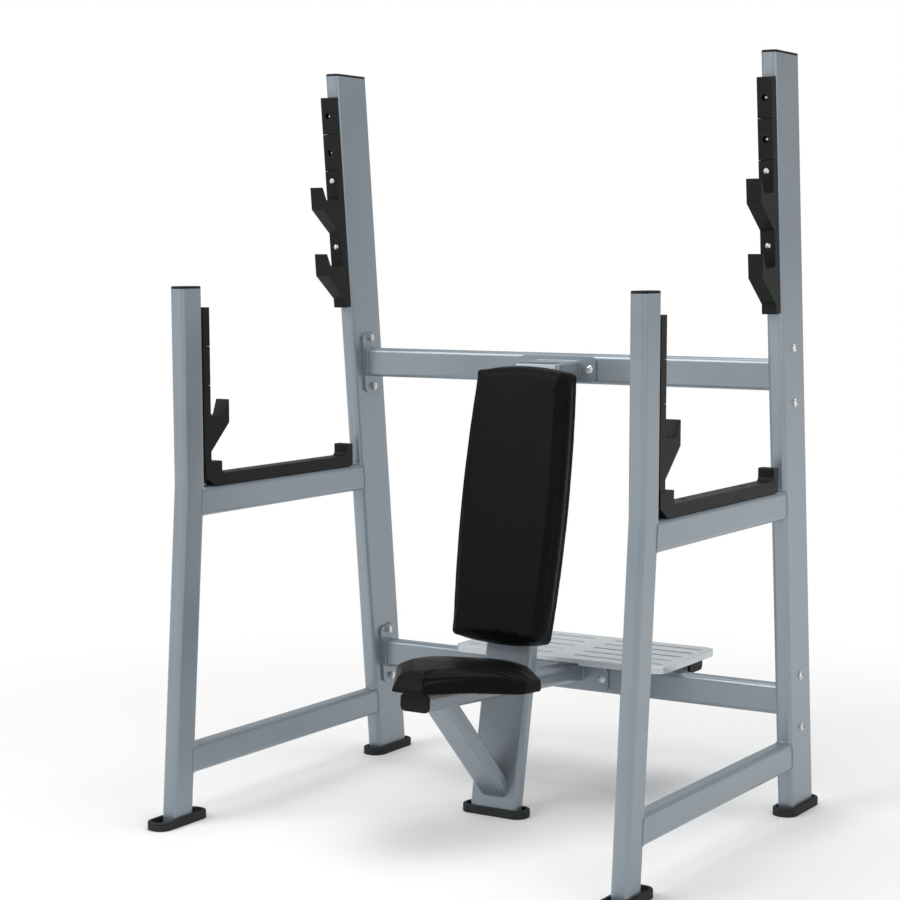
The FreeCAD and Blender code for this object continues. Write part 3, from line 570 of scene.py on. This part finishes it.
def build_seat_pad():
    """Saddle seat: a narrow nose that flares to wide shoulders, crowned on top."""
    forward = Vector((0, -math.cos(SEAT_TILT), math.sin(SEAT_TILT)))
    up = Vector((0, math.sin(SEAT_TILT), math.cos(SEAT_TILT)))
    tail, nose = span("seat_pad", forward)
    low, high = span("seat_pad", up)
    widest = span("seat_pad", X_AXIS)[1] + SEAT_FULLNESS
    middle = (tail + nose) / 2
    half = (nose - tail) / 2 - PAD_SKIN
    shoulder = half - SEAT_FLARE
    side_end = shoulder - SEAT_SIDE
    nose_half = SEAT_NOSE / 2
    tail_half = SEAT_TAIL / 2 - PAD_SKIN
    right = [(tail_half, -half), (widest, side_end), (widest, shoulder), (nose_half, half)]
    left = [(-u, v) for u, v in reversed(right)]
    radii = [0.030, 0.024, 0.014, 0.005]
    hollow = -0.002              # the flared sides draw in a little between corners
    bulges = [0.0, 0.0, hollow, 0.0, hollow, 0.0, 0.0, 0.0]
    outline = rounded_outline(right + left, radii + radii[::-1], bulges, OUTLINE_STEP)
    full = high - low
    level = math.tan(math.radians(3.6))   # the top is level while the base tilts
    level_start = 0.02                    # from here forward the top is lowered
    edge = 0.005
    dip = 0.003                           # the rim below the crown beside it
    dip_rings = 5.0                       # rings over which the dip fades out
    crown_fall = 0.020                    # shoulders below the centre line
    crown_power = 2.2
    tail_fall = 0.016
    droop = 0.007                         # skirt lower beside the seat tube
    droop_start = 0.085
    side_taper = 0.002
    nose_taper = 0.012
    taper_run = 0.03

    def place(u, v, height):
        drop = droop * smooth_step(abs(u), droop_start, widest) * (1.0 - height / full)
        return X_AXIS * u + forward * (middle + v) + up * (low + height - drop)

    def crown_height(u, v):
        across = min(1.0, abs(u) / widest)
        nose_drop = max(0.0, v - level_start) * level
        tail_drop = tail_fall * smooth_step(-v, -shoulder, half)
        side_drop = crown_fall * across ** crown_power
        return full - SEAT_TOP_DROP - side_drop - nose_drop - tail_drop

    def taper(p):
        return side_taper + nose_taper * smooth_step(p.y, shoulder + taper_run, half)

    def rim(p):
        return crown_height(p.x, p.y) - dip

    def top_height(u, v, step):
        return crown_height(u, v) - dip * (1 - smooth_step(step, 0.0, dip_rings))

    profile = base_profile()
    for share in SIDE_SHARES:
        profile.append((lambda p, share=share: taper(p) * share,
                        lambda p, share=share:
                        LIP_ROUND + (rim(p) - edge - LIP_ROUND) * share))
    for turn in EDGE_TURNS:
        profile.append((lambda p, turn=turn: taper(p) + edge * (1 - math.cos(turn)),
                        lambda p, turn=turn: rim(p) - edge + edge * math.sin(turn)))
    rings = pad_rings(outline, profile)
    bottom = closing_rings(rings[0], lambda u, v, step: BOARD_DEPTH + SEAT_POCKET_RISE, 1)
    top = closing_rings(rings[-1], top_height, CLOSING_STEPS)
    piece = pad_mesh("seat_pad_cover", bottom + rings + top, place)
    puff(piece, lambda point: point.dot(up) - low < HELD_DEPTH)
    finish_pad(piece, "seat_pad")
    welt("seat_pad_seam", piece, [place(*point, SEAM_HEIGHT) for point in outline[::2]])


# ---- weld beads ---------------------------------------------------------------------
def section_points(width, depth, radius):
    """Points round a rounded rectangle, centred on the origin."""
    points = []
    for quarter, (sx, sy) in enumerate(((1, 1), (-1, 1), (-1, -1), (1, -1))):
        centre = (sx * (width / 2 - radius), sy * (depth / 2 - radius))
        for number in range(CORNER_POINTS):
            angle = math.pi / 2 * (quarter + number / (CORNER_POINTS - 1))
            points.append((centre[0] + radius * math.cos(angle),
                           centre[1] + radius * math.sin(angle)))
    return points


def weld_line(centre, across, along, width, depth, target):
    """Closed line where a tube's skin, sent along a direction, meets a node."""
    tree = BVHTree.FromPolygons([vertex.co for vertex in nodes[target].data.vertices],
                                [face.vertices for face in nodes[target].data.polygons])
    upright = along.cross(across)
    line = []
    for a, b in section_points(width, depth, TUBE_CORNER):
        start = centre + across * a * SKIN_SHARE + upright * b * SKIN_SHARE
        place = tree.ray_cast(start, along)[0]
        if place is not None:
            outwards = (across * a + upright * b).normalized()
            line.append(place + outwards * BEAD_LIFT)
    return line


def middle_of(node):
    low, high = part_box(node)
    return (Vector(low) + Vector(high)) / 2


def build_welds():
    lines = []
    for side, sign in (("left", -1), ("right", 1)):
        for level in ("upper", "lower"):
            centre = middle_of(side + "_" + level + "_side_bar")
            for target, along in (("_front_post", -Y_AXIS), ("_rear_post", Y_AXIS)):
                lines.append(weld_line(centre, X_AXIS, along, TUBE, SIDE_TUBE,
                                       side + target))
    for level in ("upper", "lower"):
        centre = middle_of(level + "_crossbar")
        for along in (-X_AXIS, X_AXIS):
            lines.append(weld_line(centre, Y_AXIS, along, TUBE, CROSS_TUBE,
                                   "crossbar_flanges"))
    centre = middle_of("top_stub")
    lines.append(weld_line(centre, X_AXIS, Y_AXIS, WIDE_TUBE, TUBE, "upper_saddle_plate"))
    lines.append(weld_line(centre, X_AXIS, -Y_AXIS, WIDE_TUBE, TUBE, "centre_column"))
    forward = Vector((0, -math.cos(SEAT_TILT), math.sin(SEAT_TILT)))
    up = Vector((0, math.sin(SEAT_TILT), math.cos(SEAT_TILT)))
    seat_up = sum(span("seat_tube", up)) / 2
    seat_along = sum(span("seat_tube", forward)) / 2
    seat_centre = forward * seat_along + up * seat_up
    lines.append(weld_line(seat_centre, X_AXIS, -forward, SEAT_TUBE, TUBE, "centre_column"))
    strut_along = sum(span("lower_strut", forward)) / 2
    strut_centre = forward * strut_along + up * (sum(span("lower_strut", up)) / 2)
    lines.append(weld_line(strut_centre, X_AXIS, -forward, SEAT_TUBE, TUBE,
                           "lower_saddle_plate"))
    lines = [line for line in lines if len(line) > SHORTEST_LINE]
    line_piece("weld_beads", [(line, True) for line in lines], BEAD_RADIUS,
               finishes["frame_paint"])


# ---- studio -------------------------------------------------------------------------
def soft_light(name, place, size, power):
    data = bpy.data.lights.new(name, "AREA")
    data.shape = "SQUARE"
    data.size = size
    data.energy = power
    light = bpy.data.objects.new(name, data)
    bpy.context.scene.collection.objects.link(light)
    light.location = place
    light.rotation_mode = "QUATERNION"
    light.rotation_quaternion = (LIGHT_AIM - Vector(place)).to_track_quat("-Z", "Y")


def make_studio():
    bpy.ops.mesh.primitive_plane_add(size=FLOOR_SIZE, location=(0.0, 0.0, 0.0))
    floor = bpy.context.active_object
    floor.name = "studio_floor"
    material = bpy.data.materials.new("studio_floor")
    material.use_nodes = True
    tree = material.node_tree
    shader = tree.nodes["Principled BSDF"]
    shader.inputs["Base Color"].default_value = FLOOR_COLOUR
    shader.inputs["Roughness"].default_value = 0.65
    shader.inputs["Specular IOR Level"].default_value = 0.25
    glow = tree.nodes.new("ShaderNodeEmission")
    glow.inputs["Strength"].default_value = 1.0
    coordinates = tree.nodes.new("ShaderNodeTexCoord")
    length = tree.nodes.new("ShaderNodeVectorMath")
    length.operation = "LENGTH"
    tree.links.new(coordinates.outputs["Object"], length.inputs[0])
    fade = tree.nodes.new("ShaderNodeMapRange")
    fade.interpolation_type = "SMOOTHSTEP"
    fade.inputs["From Min"].default_value = FADE_START
    fade.inputs["From Max"].default_value = FADE_END
    tree.links.new(length.outputs["Value"], fade.inputs["Value"])
    mix = tree.nodes.new("ShaderNodeMixShader")
    tree.links.new(fade.outputs["Result"], mix.inputs["Fac"])
    tree.links.new(shader.outputs["BSDF"], mix.inputs[1])
    tree.links.new(glow.outputs["Emission"], mix.inputs[2])
    tree.links.new(mix.outputs["Shader"], tree.nodes["Material Output"].inputs["Surface"])
    floor.data.materials.append(material)

    world = bpy.data.worlds.new("studio")
    bpy.context.scene.world = world
    world.use_nodes = True
    tree = world.node_tree
    seen = tree.nodes["Background"]
    seen.inputs["Color"].default_value = (1.0, 1.0, 1.0, 1.0)
    seen.inputs["Strength"].default_value = 1.0
    lit = tree.nodes.new("ShaderNodeBackground")
    lit.inputs["Color"].default_value = SKY_COLOUR
    lit.inputs["Strength"].default_value = SKY_STRENGTH
    path = tree.nodes.new("ShaderNodeLightPath")
    mix = tree.nodes.new("ShaderNodeMixShader")
    tree.links.new(path.outputs["Is Camera Ray"], mix.inputs["Fac"])
    tree.links.new(lit.outputs["Background"], mix.inputs[1])
    tree.links.new(seen.outputs["Background"], mix.inputs[2])
    tree.links.new(mix.outputs["Shader"], tree.nodes["World Output"].inputs["Surface"])

    for light in LIGHTS:
        soft_light(*light)
    bpy.context.scene.view_settings.view_transform = "Standard"


make_camera()
make_studio()
build_back_pad()
build_seat_pad()
build_welds()
